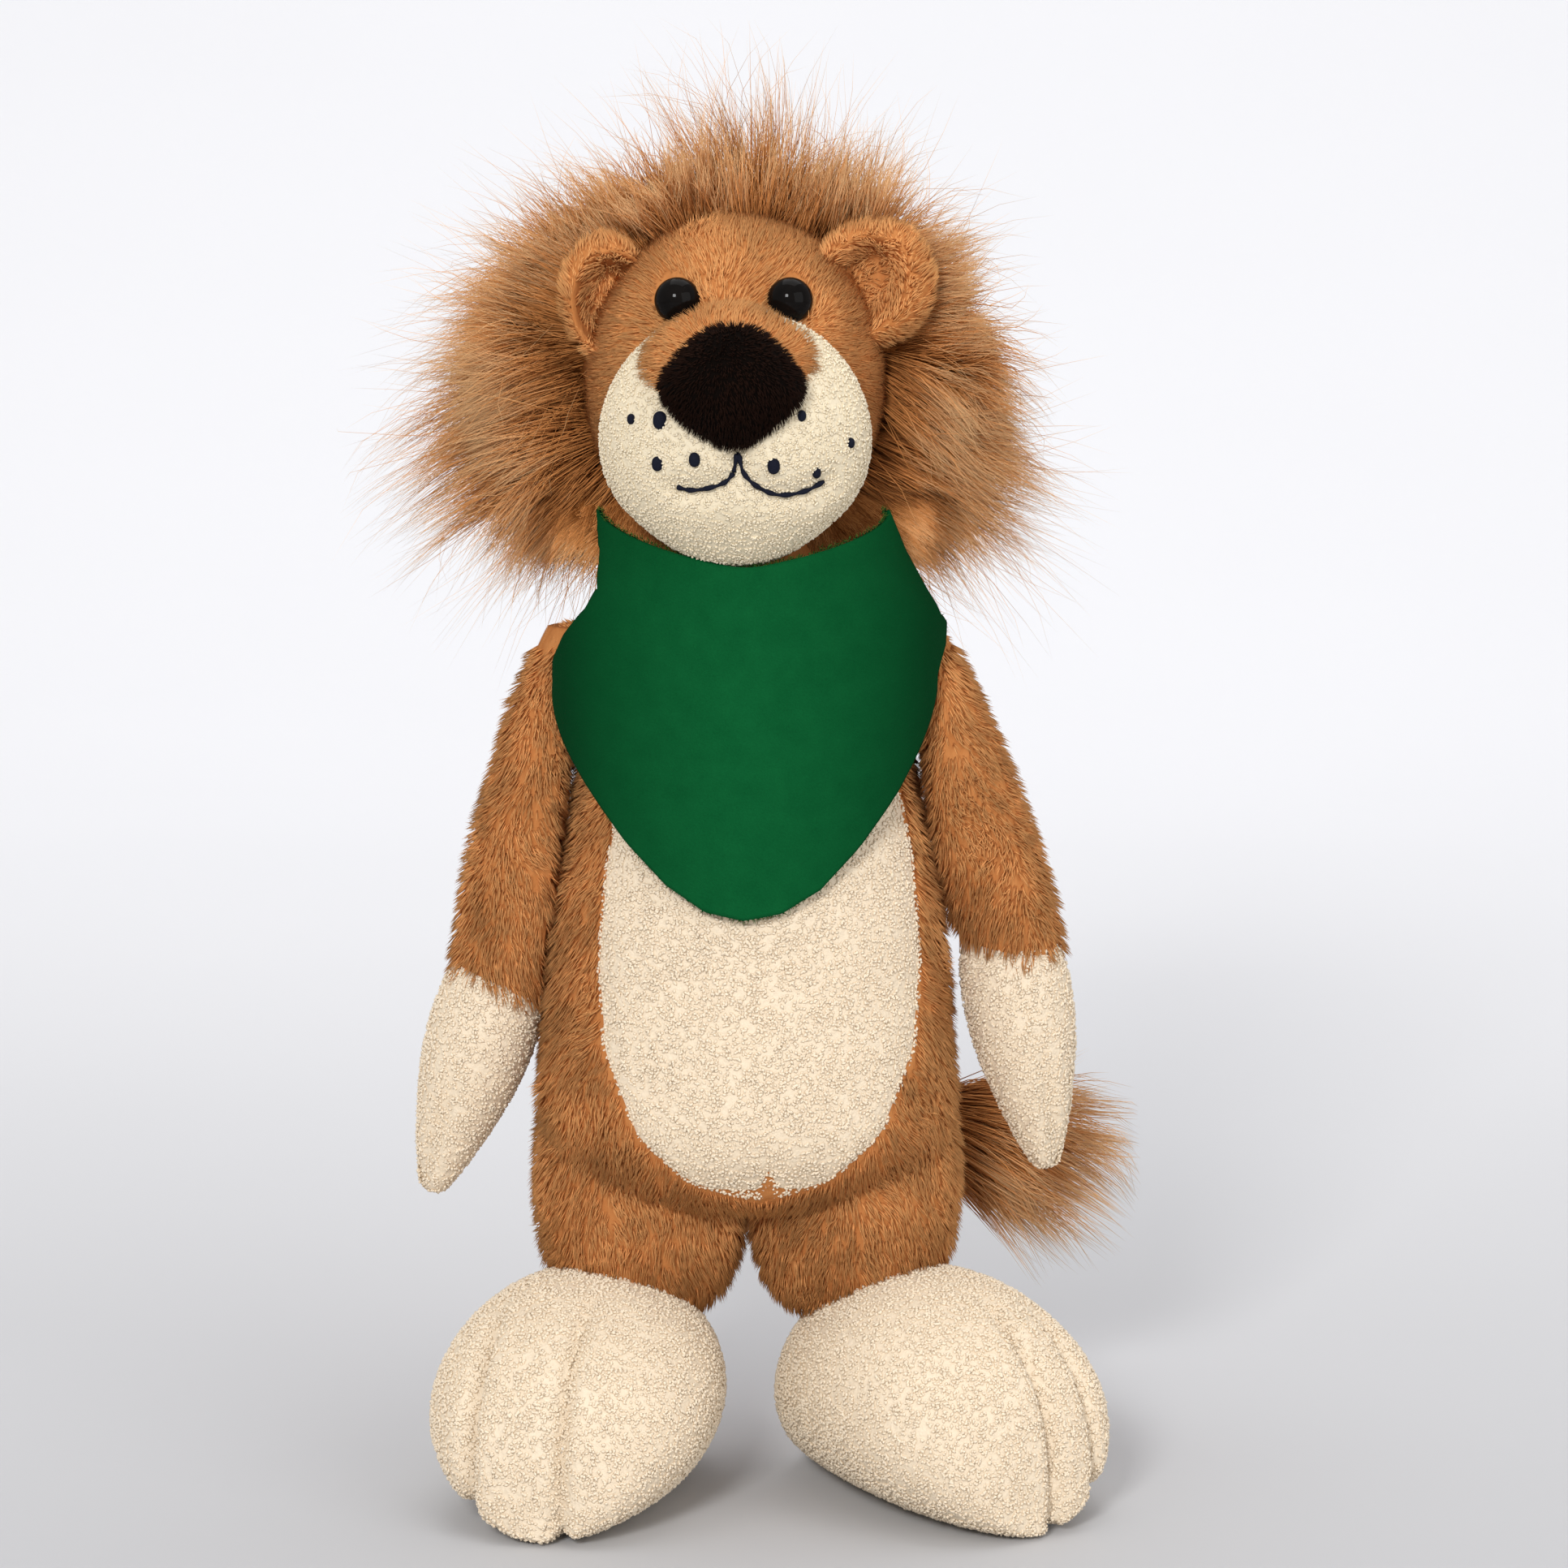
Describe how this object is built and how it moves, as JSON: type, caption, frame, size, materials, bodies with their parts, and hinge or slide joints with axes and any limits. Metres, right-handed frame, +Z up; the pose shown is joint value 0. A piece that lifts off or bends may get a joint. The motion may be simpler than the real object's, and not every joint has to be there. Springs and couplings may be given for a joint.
{
  "type": "plush lion toy",
  "caption": "Standing stuffed lion with long-pile mane, hanging arms, big rounded paws, tufted tail and a felt bandana; head, arms, legs and tail move.",
  "frame": {"origin": "on the ground, in the middle of the bounding box", "axes": "+Z up, the lion faces -Y, its own left is +X"},
  "size_m": [0.158, 0.1236, 0.315],
  "materials": {
    "brown_plush": "short pile plush",
    "cream_boucle": "curly boucle plush",
    "muzzle_fleece": "soft fleece",
    "nose_plush": "short pile plush",
    "mane_fur": "long pile fur",
    "ear_lining": "short pile plush",
    "bandana_felt": "brushed felt",
    "embroidery_thread": "stitched thread",
    "fibre_filling": "loose polyester fibre",
    "eye_plastic": "polished",
    "washer_plastic": "moulded"
  },
  "bodies": {
    "torso": {"torso_skin": "brown_plush", "torso_filling": "fibre_filling", "belly_panel": "cream_boucle", "bandana": "bandana_felt"},
    "neck": {"neck": "brown_plush"},
    "head": {"head_skin": "brown_plush", "head_filling": "fibre_filling", "muzzle": "muzzle_fleece", "nose_bridge": "brown_plush", "nose": "nose_plush", "mouth_embroidery": "embroidery_thread", "whisker_dot_1": "embroidery_thread", "whisker_dot_2": "embroidery_thread", "whisker_dot_3": "embroidery_thread", "whisker_dot_4": "embroidery_thread", "whisker_dot_5": "embroidery_thread", "whisker_dot_6": "embroidery_thread", "whisker_dot_7": "embroidery_thread", "whisker_dot_8": "embroidery_thread", "right_eye": "eye_plastic", "left_eye": "eye_plastic", "right_eye_washer": "washer_plastic", "left_eye_washer": "washer_plastic", "right_ear": "brown_plush", "left_ear": "brown_plush", "right_ear_lining": "ear_lining", "left_ear_lining": "ear_lining", "mane": "mane_fur"},
    "right_shoulder": {"right_shoulder_gather": "brown_plush"},
    "left_shoulder": {"left_shoulder_gather": "brown_plush"},
    "right_arm": {"right_arm_skin": "brown_plush", "right_arm_filling": "fibre_filling", "right_hand": "cream_boucle"},
    "left_arm": {"left_arm_skin": "brown_plush", "left_arm_filling": "fibre_filling", "left_hand": "cream_boucle"},
    "right_lower": {"right_leg": "brown_plush", "right_foot_skin": "cream_boucle", "right_foot_filling": "fibre_filling"},
    "left_lower": {"left_leg": "brown_plush", "left_foot_skin": "cream_boucle", "left_foot_filling": "fibre_filling"},
    "tail_body": {"tail": "brown_plush", "tail_tuft": "mane_fur"}
  },
  "joints": [
    {"name": "head_turn", "type": "hinge", "parent": "torso", "child": "neck", "pos_m": [0, 0.002, 0.206], "axis": [0, 0, 1], "range_deg": [-30, 30], "stiffness_Nm_per_rad": 0.4},
    {"name": "head_nod", "type": "hinge", "parent": "neck", "child": "head", "pos_m": [0, 0.002, 0.206], "axis": [1, 0, 0], "range_deg": [-12, 12], "stiffness_Nm_per_rad": 2},
    {"name": "right_arm_swing", "type": "hinge", "parent": "torso", "child": "right_shoulder", "pos_m": [-0.038, 0, 0.19], "axis": [1, 0, 0], "range_deg": [-80, 30]},
    {"name": "right_arm_lift", "type": "hinge", "parent": "right_shoulder", "child": "right_arm", "pos_m": [-0.038, 0, 0.19], "axis": [0, 1, 0], "range_deg": [0, 75]},
    {"name": "left_arm_swing", "type": "hinge", "parent": "torso", "child": "left_shoulder", "pos_m": [0.038, 0, 0.19], "axis": [1, 0, 0], "range_deg": [-80, 8]},
    {"name": "left_arm_lift", "type": "hinge", "parent": "left_shoulder", "child": "left_arm", "pos_m": [0.038, 0, 0.19], "axis": [0, -1, 0], "range_deg": [0, 70]},
    {"name": "right_hip", "type": "hinge", "parent": "torso", "child": "right_lower", "pos_m": [-0.024, 0, 0.066], "axis": [1, 0, 0], "range_deg": [-25, 25], "stiffness_Nm_per_rad": 4},
    {"name": "left_hip", "type": "hinge", "parent": "torso", "child": "left_lower", "pos_m": [0.024, 0, 0.066], "axis": [1, 0, 0], "range_deg": [-25, 25], "stiffness_Nm_per_rad": 4},
    {"name": "tail_swing", "type": "hinge", "parent": "torso", "child": "tail_body", "pos_m": [0.008, 0.034, 0.084], "axis": [0, 0, 1], "range_deg": [0, 110], "stiffness_Nm_per_rad": 0.05}
  ]
}
